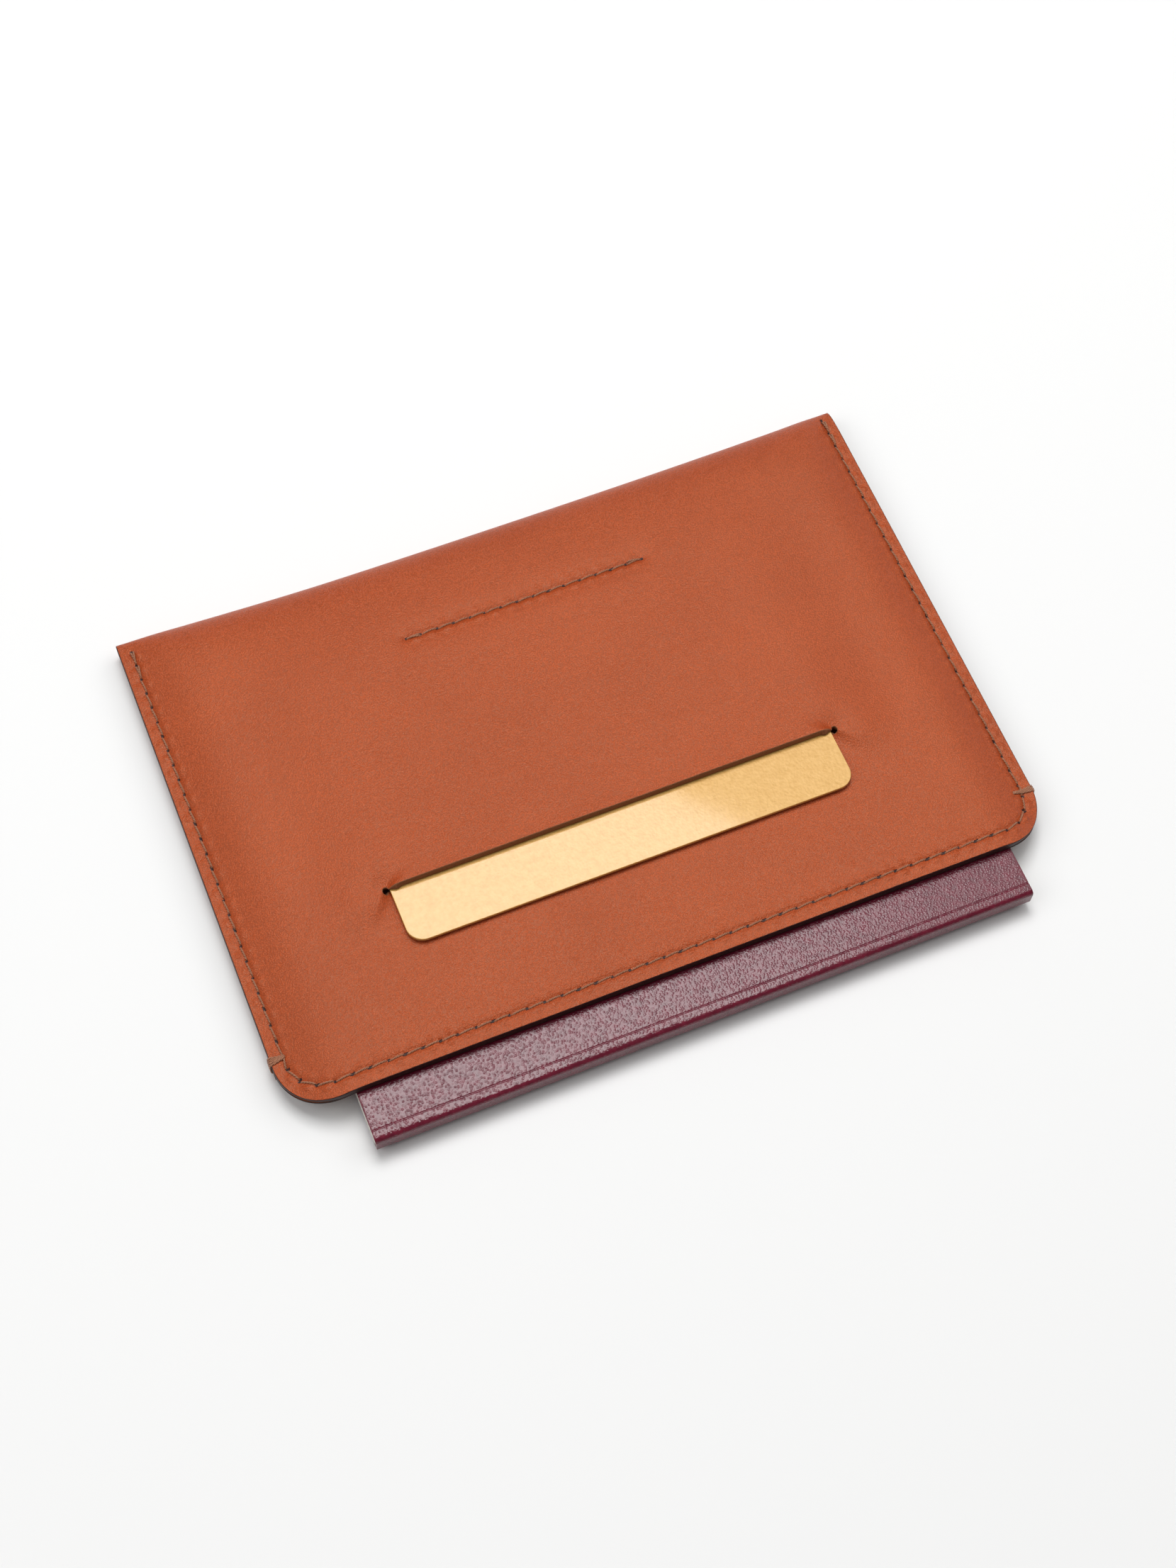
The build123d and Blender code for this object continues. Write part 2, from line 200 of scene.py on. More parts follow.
def seam_marks(x, y):
    """The grooves that the seams press into the front, without their holes."""
    groove = 0.10
    side = np.abs(x) - SIDE_SEAM
    along_side = smooth(y, -39.0, -37.0) * (1 - smooth(y, 46.5, 48.0))
    mark = -groove * bell(side, 0.55) * along_side
    hem = corner_distance(x, y)
    mark = mark - groove * bell(hem, 0.55) * (1 - smooth(y, -40.0, -38.5))
    stop = bell(y - STOP_SEAM, 0.6) * (1 - smooth(np.abs(x - STOP_CENTRE), 23.2, 24.4))
    return mark - 0.14 * stop


def corner_distance(x, y):
    """Distance from the hem seam's line, which turns both mouth corners."""
    cx = SIDE - MOUTH_CORNER
    cy = HEM + MOUTH_CORNER
    rx = SIDE_SEAM - cx
    ry = cy - HEM_SEAM
    u = np.maximum(np.abs(x) - cx, 0) / rx
    v = np.maximum(cy - y, 0) / ry
    radius = np.hypot(u, v)
    return np.where(y < cy, (radius - 1) * ry, (np.abs(x) - SIDE_SEAM))


def swell(x, y):
    """Slow unevenness of the leather."""
    return (
        0.05 * np.sin(x / 11.0 + 0.6) * np.sin(y / 13.0 + 1.1)
        + 0.04 * np.sin(x / 6.3 - y / 8.1 + 2.0)
        + 0.03 * np.sin(x / 4.1 + y / 5.7)
    )


def front_height(x, y, above=None):
    """Height of the front's upper face. above says which side of the slit a point is on."""
    if above is None:
        above = y > SLIT
    height = FRONT_TOP + (EDGE_TOP - FRONT_TOP) * edge_share(x)
    rise = np.where(above, card_rise_above(x, y), card_rise_below(x, y))
    rise = rise * (1 - edge_share(x))
    return height + rise + seam_marks(x, y) + swell(x, y) * (1 - edge_share(x))


# --- Seams ----------------------------------------------------------------------------------


def side_holes(sign):
    """Stitch holes down one side, from the fold to the bar tack."""
    start, end = FOLD - 2.3, TACK + TACK_ROOM
    count = round((start - end) / PITCH)
    y = np.linspace(start, end, count + 1)
    return np.stack([np.full_like(y, sign * SIDE_SEAM), y], 1)


def hem_holes():
    """Stitch holes round both mouth corners and along the hem."""
    cx = SIDE - MOUTH_CORNER
    cy = HEM + MOUTH_CORNER
    rx, ry = SIDE_SEAM - cx, cy - HEM_SEAM
    first = math.asin((cy - TACK + TACK_ROOM) / ry)
    turn = np.linspace(first, math.pi / 2, 60)
    left = np.stack([-cx - rx * np.cos(turn), cy - ry * np.sin(turn)], 1)
    route = np.concatenate([left, left[::-1] * np.array([-1, 1])])
    return spaced(route, PITCH)


def stop_holes():
    """Stitch holes of the short seam that stops the card."""
    x = np.linspace(stop_low[0] - 0.4, stop_high[0] + 0.4, 16)
    return np.stack([x, np.full_like(x, STOP_SEAM)], 1)


def spaced(route, pitch):
    """Points a whole number of equal steps apart along a route."""
    step = np.linalg.norm(np.diff(route, axis=0), axis=1)
    along = np.concatenate([[0], np.cumsum(step)])
    count = round(along[-1] / pitch)
    wanted = np.linspace(0, along[-1], count + 1)
    return np.stack([np.interp(wanted, along, route[:, k]) for k in range(route.shape[1])], 1)


SEAM_HOLES = {
    "left": side_holes(-1),
    "right": side_holes(1),
    "hem": hem_holes(),
    "stop": stop_holes(),
}


def stitch_dents(x, y):
    """Dents at the needle holes, and the small puckers beside every stitch."""
    hole_depth, hole_width = 0.38, 0.40
    dip_depth, dip_width = 0.08, 1.1
    pucker_height, pucker_length, pucker_width, pucker_away = 0.32, 0.6, 0.45, 0.95
    total = np.zeros_like(x)

    def around(cx, cy):
        reach = 4.5
        near = (np.abs(x - cx) < reach) & (np.abs(y - cy) < reach)
        return near, x[near] - cx, y[near] - cy

    for holes in SEAM_HOLES.values():
        for hole in holes:
            near, dx, dy = around(*hole)
            away = np.hypot(dx, dy)
            total[near] -= hole_depth * bell(away, hole_width) + dip_depth * bell(away, dip_width)
        for a, b in zip(holes, holes[1:]):
            near, dx, dy = around(*(a + b) / 2)
            tx, ty = (b - a) / np.linalg.norm(b - a)
            along = dx * tx + dy * ty
            across = dx * -ty + dy * tx
            for side in (-pucker_away, pucker_away):
                shape = bell(along, pucker_length) * bell(across - side, pucker_width)
                total[near] += pucker_height * shape
    return total


# --- Mesh helpers ---------------------------------------------------------------------------


def make_mesh(name, points, faces, materials, face_material=None):
    """A smooth-shaded object from points in millimetres."""
    mesh = bpy.data.meshes.new(name)
    mesh.from_pydata((np.asarray(points) * MM).tolist(), [], faces)
    for material in materials:
        mesh.materials.append(material)
    if face_material is not None:
        mesh.polygons.foreach_set("material_index", np.asarray(face_material, dtype=np.int32))
    mesh.polygons.foreach_set("use_smooth", np.ones(len(mesh.polygons), dtype=bool))
    mesh.update()
    obj = bpy.data.objects.new(name, mesh)
    bpy.context.collection.objects.link(obj)
    return obj


def vertex_normals(points, quads):
    """Unit normals, with larger faces counting for more."""
    diagonal_a = points[quads[:, 2]] - points[quads[:, 0]]
    diagonal_b = points[quads[:, 3]] - points[quads[:, 1]]
    face_normal = np.cross(diagonal_a, diagonal_b)
    normal = np.zeros_like(points)
    for corner in range(4):
        np.add.at(normal, quads[:, corner], face_normal)
    return normal / np.linalg.norm(normal, axis=1, keepdims=True)


def thicken(points, quads, thickness, bulge, rim_rows=6):
    """Give an open sheet a thickness below its face, closed by a rim that bulges a little.

    Returns points, faces and, for each face, 0 on the upper side, 1 below and 2 on the rim.
    """
    count = len(points)
    normal = vertex_normals(points, quads)
    thickness = np.broadcast_to(thickness, (count,))
    below = points - normal * thickness[:, None]

    start = quads.reshape(-1)
    end = np.roll(quads, -1, axis=1).reshape(-1)
    key = np.minimum(start, end) * count + np.maximum(start, end)
    _, index, times = np.unique(key, return_index=True, return_counts=True)
    open_edges = index[times == 1]
    a, b = start[open_edges], end[open_edges]

    following = np.full(count, -1)
    before = np.full(count, -1)
    following[a] = b
    before[b] = a
    rim = np.unique(a)
    direction = points[following[rim]] - points[before[rim]]
    outward = np.cross(direction, normal[rim])
    outward /= np.linalg.norm(outward, axis=1, keepdims=True)

    rows = [rim]
    layers = [points, below]
    place = np.zeros(count, dtype=int)
    place[rim] = np.arange(len(rim))
    for k in range(1, rim_rows):
        angle = math.pi * k / rim_rows
        depth = 0.5 - 0.5 * math.copysign(abs(math.cos(angle)) ** 0.7, math.cos(angle))
        reach = bulge * math.sin(angle) ** 0.6
        layer = points[rim] * (1 - depth) + below[rim] * depth + outward * reach
        rows.append(2 * count + (k - 1) * len(rim) + np.arange(len(rim)))
        layers.append(layer)
    rows.append(rim + count)

    rim_faces = []
    for upper, lower in zip(rows, rows[1:]):
        rim_faces.append(
            np.stack([upper[place[b]], upper[place[a]], lower[place[a]], lower[place[b]]], 1)
        )
    rim_faces = np.concatenate(rim_faces)
    faces = np.concatenate([quads, quads[:, ::-1] + count, rim_faces])
    kind = np.concatenate([np.zeros(len(quads)), np.ones(len(quads)), np.full(len(rim_faces), 2)])
    return np.concatenate(layers), faces, kind.astype(int)


def grid_quads(ids):
    """The quads between the rows and columns of a grid of point numbers."""
    return np.stack(
        [ids[:-1, :-1], ids[:-1, 1:], ids[1:, 1:], ids[1:, :-1]], axis=-1
    ).reshape(-1, 4)


def round_corner(x, y, cx, cy, radius_x, radius_y):
    """Warp the square corner beyond (cx, cy) into a round one. Both grow outwards."""
    u = np.clip((x - cx) / radius_x, 0, None)
    v = np.clip((y - cy) / radius_y, 0, None)
    inside = (u > 0) & (v > 0)
    warped_x = cx + radius_x * u * np.sqrt(np.maximum(1 - v**2 / 2, 0))
    warped_y = cy + radius_y * v * np.sqrt(np.maximum(1 - u**2 / 2, 0))
    return np.where(inside, warped_x, x), np.where(inside, warped_y, y)


def plan_corners(x, y, bulge):
    """Points moved so that the front's two corners at the mouth are round."""
    radius = MOUTH_CORNER - bulge
    wx, wy = round_corner(
        np.abs(x), -y, SIDE - MOUTH_CORNER, -(HEM + MOUTH_CORNER), radius, radius
    )
    return np.where(x < 0, -wx, wx), -wy


def ride(obj, body, node):
    """Put a piece on its body, in place of the CAD node that it stands for."""
    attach(obj, body)
    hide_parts(node)


# --- Materials ------------------------------------------------------------------------------


class Shader:
    """A material being wired up around its Principled shader."""

    def __init__(self, name, color, roughness, **values):
        self.material = bpy.data.materials.new(name)
        self.material.use_nodes = True
        self.tree = self.material.node_tree
        self.bsdf = self.tree.nodes["Principled BSDF"]
        self.bsdf.inputs["Base Color"].default_value = (*color, 1)
        self.bsdf.inputs["Roughness"].default_value = roughness
        for key, value in values.items():
            self.bsdf.inputs[key.replace("_", " ")].default_value = value
        self.coords = self.tree.nodes.new("ShaderNodeTexCoord").outputs["Object"]

    def link(self, output, node, socket):
        self.tree.links.new(output, node.inputs[socket])

    def stretch(self, scale):
        """Object coordinates multiplied by a different number on each axis."""
        node = self.tree.nodes.new("ShaderNodeMapping")
        self.link(self.coords, node, "Vector")
        node.inputs["Scale"].default_value = scale
        return node.outputs["Vector"]

    def noise(self, size, detail=2.0, roughness=0.5, coords=None):
        """Noise whose features are about size millimetres across."""
        node = self.tree.nodes.new("ShaderNodeTexNoise")
        self.link(coords or self.coords, node, "Vector")
        node.inputs["Scale"].default_value = 1 / (size * MM)
        node.inputs["Detail"].default_value = detail
        node.inputs["Roughness"].default_value = roughness
        return node.outputs["Fac"]

    def cells(self, size, feature="F1", smoothness=None):
        """Distance from the nearest of many points about size millimetres apart."""
        node = self.tree.nodes.new("ShaderNodeTexVoronoi")
        node.feature = feature
        self.link(self.coords, node, "Vector")
        node.inputs["Scale"].default_value = 1 / (size * MM)
        if smoothness is not None:
            node.inputs["Smoothness"].default_value = smoothness
        return node.outputs["Distance"]

    def ramp(self, value, *stops):
        """A colour for a value, from stops given as (value, colour)."""
        node = self.tree.nodes.new("ShaderNodeValToRGB")
        self.link(value, node, "Fac")
        points = node.color_ramp.elements
        for point, (position, color) in zip(points, stops):
            point.position = position
            point.color = (*color, 1)
        return node.outputs["Color"]

    def to_range(self, value, low, high, out_low, out_high):
        """A value moved from one range to another, and clamped to it."""
        node = self.tree.nodes.new("ShaderNodeMapRange")
        self.link(value, node, "Value")
        node.inputs["From Min"].default_value = low
        node.inputs["From Max"].default_value = high
        node.inputs["To Min"].default_value = out_low
        node.inputs["To Max"].default_value = out_high
        return node.outputs["Result"]

    def math(self, operation, a, b):
        """A sum or product of two values, each a number or a node's output."""
        node = self.tree.nodes.new("ShaderNodeMath")
        node.operation = operation
        for socket, value in enumerate((a, b)):
            if isinstance(value, (int, float)):
                node.inputs[socket].default_value = value
            else:
                self.tree.links.new(value, node.inputs[socket])
        return node.outputs["Value"]

    def mix(self, factor, a, b):
        """One colour mixed with another. A socket is named by its place: three share a name."""
        node = self.tree.nodes.new("ShaderNodeMix")
        node.data_type = "RGBA"
        for socket, value in ((0, factor), (6, a), (7, b)):
            if isinstance(value, (int, float)):
                node.inputs[socket].default_value = value
            elif isinstance(value, tuple):
                node.inputs[socket].default_value = (*value, 1)
            else:
                self.tree.links.new(value, node.inputs[socket])
        return node.outputs[2]

    def color(self, output):
        self.link(output, self.bsdf, "Base Color")

    def roughness(self, output):
        self.link(output, self.bsdf, "Roughness")

    def bump(self, height, depth, strength=1.0, under=None):
        """Bump by a height from 0 to 1 that stands for depth millimetres."""
        node = self.tree.nodes.new("ShaderNodeBump")
        self.link(height, node, "Height")
        node.inputs["Distance"].default_value = depth * MM
        node.inputs["Strength"].default_value = strength
        if under is not None:
            self.link(under, node, "Normal")
        self.link(node.outputs["Normal"], self.bsdf, "Normal")
        return node.outputs["Normal"]


def leather_material(name, color, dark, roughness):
    """Smooth vegetable-tanned leather: fine closed grain, pores, a cloudy colour and painted
    shade in the grain's valleys.
    """
    s = Shader(
        name, color, roughness, Specular_IOR_Level=0.75, Specular_Tint=(1.0, 0.62, 0.42, 1.0)
    )
    cloud = s.noise(21.0, 3.0, 0.5)
    fleck = s.noise(0.42, 4.0, 0.66)
    grain = s.cells(0.27)
    pores = s.noise(0.15, 2.0, 0.6)
    tone = s.ramp(cloud, (0.30, dark), (0.68, color))
    light = tuple(1.1 * c for c in color)
    tone = s.mix(0.5, tone, s.ramp(fleck, (0.36, tuple(0.8 * c for c in dark)), (0.64, light)))
    # Painted shade: the colour darkens between the grain's domes, where the bump's valleys are.
    crease_shade = s.to_range(grain, 0.30, 0.66, 0.0, 0.5)
    tone = s.mix(crease_shade, tone, tuple(0.5 * c for c in dark))
    s.color(tone)
    s.roughness(s.to_range(fleck, 0.3, 0.7, roughness - 0.05, roughness + 0.06))
    domes = s.to_range(grain, 0.0, 0.7, 1.0, 0.0)
    height = s.math("ADD", s.math("MULTIPLY", domes, 0.7), s.math("MULTIPLY", pores, 0.9))
    fine = s.bump(height, 0.10, 0.8)
    s.bump(s.noise(6.0, 3.0, 0.5), 0.10, 0.5, under=fine)
    return s.material


def edge_material():
    """Dark paint burnished onto the cut edges, also used as painted shade in the stitch holes."""
    s = Shader("edge_paint_and_hole_shade", (0.030, 0.008, 0.005), 0.5, Specular_IOR_Level=0.3)
    s.color(s.ramp(s.noise(0.9, 3.0), (0.3, (0.018, 0.005, 0.004)), (0.7, (0.045, 0.013, 0.008))))
    s.bump(s.noise(0.35, 3.0), 0.05, 0.5)
    return s.material


def flesh_material():
    """The unfinished inner side of the hide."""
    s = Shader("flesh_side", (0.20, 0.075, 0.03), 0.85)
    fibre = s.noise(0.5, 5.0, 0.7, s.stretch((1.0, 2.2, 1.0)))
    s.color(s.ramp(fibre, (0.3, (0.15, 0.05, 0.02)), (0.7, (0.27, 0.11, 0.05))))
    s.bump(fibre, 0.12, 0.6)
    return s.material


def raw_edge_material():
    """The slit's cut face: bare fibres, darkened by handling."""
    s = Shader("raw_edge", (0.17, 0.060, 0.026), 0.8, Specular_IOR_Level=0.2)
    fibre = s.noise(0.22, 4.0, 0.7, s.stretch((1.0, 1.0, 2.5)))
    s.color(s.ramp(fibre, (0.3, (0.15, 0.050, 0.022)), (0.72, (0.36, 0.145, 0.065))))
    s.bump(fibre, 0.12, 0.9)
    return s.material


def thread_material():
    """Brown polyester thread with a slight sheen."""
    s = Shader("sewing_thread", (0.33, 0.13, 0.06), 0.5, Sheen_Weight=0.15)
    fibre = s.noise(0.14, 3.0, 0.6)
    s.color(s.ramp(fibre, (0.3, (0.20, 0.066, 0.028)), (0.72, (0.46, 0.20, 0.10))))
    s.bump(fibre, 0.03, 0.6)
    return s.material


def card_material():
    """Gold foil with a fine leathery emboss, under a clear glossy face."""
    s = Shader(
        "gold_card",
        (0.68, 0.39, 0.11),
        0.45,
        Metallic=0.08,
        Specular_IOR_Level=0.25,
        Coat_Weight=0.6,
        Coat_Roughness=0.06,
    )
    patches = s.noise(1.0, 3.0)
    s.color(s.ramp(patches, (0.3, (0.65, 0.365, 0.095)), (0.7, (0.71, 0.415, 0.125))))
    texture = s.math("ADD", s.noise(0.62, 3.0, 0.6), s.cells(0.55, "SMOOTH_F1", 0.6))
    s.bump(texture, 0.09, 0.8)
    return s.material


def cover_material():
    """Burgundy leatherette: a shiny coating over an embossed pebble grain."""
    s = Shader("burgundy_leatherette", (0.14, 0.008, 0.024), 0.24, Specular_IOR_Level=0.46)
    pebbles = s.to_range(s.cells(0.44), 0.08, 0.58, 1.0, 0.0)
    waves = s.noise(1.1, 3.0, 0.55)
    fine = s.noise(0.28, 3.0, 0.6)
    s.color(s.ramp(waves, (0.3, (0.10, 0.005, 0.017)), (0.7, (0.155, 0.010, 0.027))))
    height = s.math("ADD", pebbles, s.math("MULTIPLY", waves, 0.45))
    height = s.math("ADD", height, s.math("MULTIPLY", fine, 0.25))
    s.bump(height, 0.052, 0.66)
    s.roughness(s.to_range(fine, 0.3, 0.7, 0.16, 0.28))
    return s.material


def paper_material():
    """Pages, with their cut edges' fine lines."""
    s = Shader("page_paper", (0.80, 0.77, 0.70), 0.85)
    fibre = s.noise(0.35, 4.0, 0.6, s.stretch((1.0, 1.0, 8.0)))
    s.color(s.ramp(fibre, (0.3, (0.72, 0.69, 0.62)), (0.7, (0.84, 0.82, 0.76))))
    s.bump(fibre, 0.02, 0.4)
    return s.material


LEATHER = leather_material("tan_leather", (0.50, 0.080, 0.017), (0.40, 0.058, 0.011), 0.33)
LINING_LEATHER = leather_material("lining_leather", (0.26, 0.055, 0.02), (0.19, 0.04, 0.014), 0.6)
EDGE_PAINT_AND_HOLE_SHADE = edge_material()
RAW_EDGE = raw_edge_material()
FLESH = flesh_material()
THREAD = thread_material()
GOLD = card_material()
BURGUNDY = cover_material()
PAPER = paper_material()


# --- The hide -------------------------------------------------------------------------------

RIM_BULGE = 0.14  # how far the cut edges stand out between the faces
FOLD_START = 33.0  # where the front begins to round over into the fold
NOSE_SHARE = 0.93  # the fold's rows are even along it up to here, then even in height
BACK_START = 44.0  # where the back's flat rows begin
LEAST_LIP = 0.35  # the leather over the card stays at least this thick


def hide_columns():
    """Columns of the hide's grid, close together at the seams and the slit's ends."""
    left, right = CARD_CENTRE - SLIT_HALF, CARD_CENTRE + SLIT_HALF
    edge = SIDE - RIM_BULGE
    stops = [(-edge, 0.3), (-SIDE_SEAM, 0.26), (-68.5, 0.5), (-48.0, 0.55)]
    for x in (left, right):
        hole = [(x - 2.0, 0.3), (x - SLIT_HOLE, 0.12), (x, 0.12), (x + SLIT_HOLE, 0.12)]
        stops += hole + [(x + 2.0, 0.3)]
        if x == left:
            stops += [(-38.0, 0.55), (38.0, 0.55)]
    stops += [(48.0, 0.55), (68.5, 0.5), (SIDE_SEAM, 0.26), (edge, 0.3)]
    return graded(stops)


def front_rows():
    """Rows of the front's grid, from the hem to where the fold begins."""
    stops = [
        (HEM + RIM_BULGE, 0.3),
        (HEM_SEAM, 0.26),
        (HEM_SEAM + 2.5, 0.5),
        (SLIT - 2.5, 0.5),
        (SLIT - SLIT_HOLE, 0.16),
        (SLIT, 0.16),
        (SLIT + SLIT_HOLE, 0.16),
        (SLIT + 3.0, 0.5),
        (STOP_SEAM - 2.0, 0.45),
        (STOP_SEAM, 0.26),
        (STOP_SEAM + 2.0, 0.45),
        (FOLD_START, 0.5),
    ]
    return graded(stops)


def fold_section(x):
    """The fold across the sleeve: its nose's line and height, the front's and the back's
    height, how far the under side's curve reaches, and how square the upper side's is."""
    share = edge_share(x)
    nose = FOLD - FOLD_BOW * (1 - np.abs(x / SIDE) ** 2.4)
    nose = nose + FOLD_LEFT_RISE * smooth(-x, 30.0, SIDE)
    height, edge_reach = 2.9, 1.7
    middle = height + ((EDGE_LIFT + EDGE_TOP) / 2 - height) * share
    top = FRONT_TOP + (EDGE_TOP - FRONT_TOP) * share
    back = EDGE_LIFT * share
    reach = height + (edge_reach - height) * share
    power = 2.6 + 5.0 * share
    return nose, middle, top, back, reach, power


def slit_opening(x_line):
    """Half the slit's width at each column: the cut itself, and the holes at its ends."""
    from_hole = np.abs(np.abs(x_line - CARD_CENTRE) - SLIT_HALF)
    return 0.05 + np.sqrt(np.maximum(SLIT_HOLE**2 - from_hole**2, 0))


def fold_over(x_line):
    """The grid that rounds the front over into the fold, down to the fold's nose."""
    nose, middle, top, _, _, power = fold_section(x_line)
    shares = [np.full_like(x_line, step / 31 * NOSE_SHARE) for step in range(1, 31)]
    start_height = (1 - NOSE_SHARE**power) ** 0.5
    for step in range(10):
        height = start_height * (1 - step / 10)
        shares.append((1 - height**2) ** (1 / power))
    share = np.array(shares)
    y = FOLD_START + (nose - FOLD_START) * share
    z = middle + (top - middle) * np.sqrt(np.maximum(1 - share**power, 0))
    x = np.broadcast_to(x_line, y.shape).copy()

    inside = 1 - edge_share(x)
    rise = (card_rise_above(x, y) + swell(x, y)) * inside * (1 - smooth(y, 36.0, 46.0))
    dents = stitch_dents(x, y) * (1 - smooth(y, 46.8, 48.2))
    return x, y, z + rise + seam_marks(x, y) + dents


def fold_under(x_line):
    """The grid from the fold's nose round to the back's underside."""
    nose, middle, _, back, reach, _ = fold_section(x_line)
    angle = np.linspace(0, math.pi / 2, 13)[:, None]
    y = nose - reach + reach * np.cos(angle)
    z = middle - (middle - back) * np.sin(angle)
    return np.broadcast_to(x_line, y.shape), y, z


def back_rise(x):
    """Height of the back's underside, which rises to the stitched edges."""
    return EDGE_LIFT * smooth(np.abs(x), *BACK_RISE)


def back_panel(x_line, turn_y):
    """The grid of the back, from the end of the fold's curve to the back's mouth edge."""
    flat = graded([(BACK_EDGE + RIM_BULGE, 0.5), (BACK_START, 1.0)])[::-1]
    share = ((BACK_START - flat) / (BACK_START - flat[-1]))[1:, None]
    y = turn_y + (flat[-1] - turn_y) * share
    x = np.broadcast_to(x_line, y.shape)
    return x, y, back_rise(x)


def front_thickness(x, y, z, above):
    """Thickness of the front: full, and thinner where the card needs the room below it."""
    lip = np.exp(-np.maximum(y - SLIT, 0) / 2.5) * smooth(-past_slit(x), 0.5, 3.0)
    full = HIDE + 0.05 * lip * above
    over_card = above & (np.abs(x - CARD_CENTRE) < CARD_HALF + 0.5) & (y < 28.0)
    room = z - card_top(y) - 0.08
    return np.maximum(np.where(over_card, np.minimum(full, room), full), LEAST_LIP)


def hide_face_materials(points, faces, kind):
    """Faces in stitch holes get the dark edge paint as painted shade, and those in the slit are
    bare leather.
    """
    centre = points[faces].mean(axis=1)
    holes = np.concatenate(list(SEAM_HOLES.values()))
    away = np.hypot(centre[:, None, 0] - holes[:, 0], centre[:, None, 1] - holes[:, 1])
    # Painted shade: faces round each stitch hole take the dark edge paint, standing in for the
    # shade inside the hole.
    painted_hole_shade = (away.min(1) < 0.36) & (centre[:, 2] > EDGE_TOP - 1.0)
    kind[(kind == 0) & painted_hole_shade] = 2
    in_slit = (np.abs(centre[:, 1] - SLIT) < 3) & (past_slit(centre[:, 0]) < 2)
    kind[(kind == 2) & in_slit] = 3
    return kind


def build_hide():
    """One hide: the front, the fold and the back, with the card slit cut in the front."""
    x_line = hide_columns()
    y_rows = front_rows()
    slit_row = int(np.argmin(np.abs(y_rows - SLIT)))
    first = int(np.argmin(np.abs(x_line - (CARD_CENTRE - SLIT_HALF - SLIT_HOLE))))
    last = int(np.argmin(np.abs(x_line - (CARD_CENTRE + SLIT_HALF + SLIT_HOLE))))
    opening = slit_opening(x_line)
    opening[: first + 1] = 0
    opening[last:] = 0

    # The slit's row is there twice, once for each side, drawn apart by the opening.
    rows = np.concatenate([y_rows[: slit_row + 1], y_rows[slit_row:]])
    above = (np.arange(len(rows)) > slit_row)[:, None]
    give = 3.2
    away = np.clip(1 - np.abs(rows - SLIT) / give, 0, 1)[:, None] ** 2
    y = rows[:, None] + np.where(above, 1, -1) * opening * away
    x, y = plan_corners(np.broadcast_to(x_line, y.shape), y, RIM_BULGE)
    above = np.broadcast_to(above, y.shape)
    z = front_height(x, y, above)

    under = fold_under(x_line)
    parts = (
        (x, y, z + stitch_dents(x, y)),
        fold_over(x_line),
        under,
        back_panel(x_line, under[1][-1]),
    )
    points = np.stack([np.concatenate(axis) for axis in zip(*parts)], -1)
    thickness = np.full(points.shape[:2], HIDE)
    thickness[: len(rows)] = front_thickness(x, y, z, above)

    ids = np.arange(thickness.size).reshape(thickness.shape)
    # Outside the slit the two copies of its row are one.
    upper_row = slit_row + 1
    ids[upper_row, : first + 1] = ids[slit_row, : first + 1]
    ids[upper_row, last:] = ids[slit_row, last:]
    quads = np.concatenate([grid_quads(ids[:upper_row]), grid_quads(ids[upper_row:])])
    used = np.unique(quads)
    quads = np.searchsorted(used, quads)
    points = points.reshape(-1, 3)[used]
    thickness = thickness.reshape(-1)[used]

    points, faces, kind = thicken(points, quads, thickness, RIM_BULGE, 7)
    kind = hide_face_materials(points, faces, kind)
    hide = make_mesh("hide", points, faces.tolist(), [LEATHER, FLESH, EDGE_PAINT_AND_HOLE_SHADE, RAW_EDGE], kind)
    ride(hide, "sleeve", "outer_shell")


def build_lining():
    """Thin leather behind the front."""
    edge = SIDE - RIM_BULGE
    x_line = graded([(-edge, 0.6), (-60.0, 1.0), (0.0, 3.0), (60.0, 1.0), (edge, 0.6)])
    y_line = graded([(HEM + RIM_BULGE, 0.5), (HEM + 12.0, 0.8), (lining_high[1] - 0.4, 2.5)])
    x, y = np.meshgrid(x_line, y_line)
    x, y = plan_corners(x, y, RIM_BULGE)
    gap = 0.03  # between the lining and the front
    z = LINING_TOP + (EDGE_TOP - FRONT_TOP) * edge_share(x) - gap
    points = np.stack([x, y, z], -1).reshape(-1, 3)
    ids = np.arange(x.size).reshape(x.shape)
    points, faces, kind = thicken(points, grid_quads(ids), LINING - gap, RIM_BULGE)
    materials = [LINING_LEATHER, LINING_LEATHER, EDGE_PAINT_AND_HOLE_SHADE]
    lining = make_mesh("lining", points, faces.tolist(), materials, kind)
    ride(lining, "sleeve", "front_lining")


# --- Thread ---------------------------------------------------------------------------------


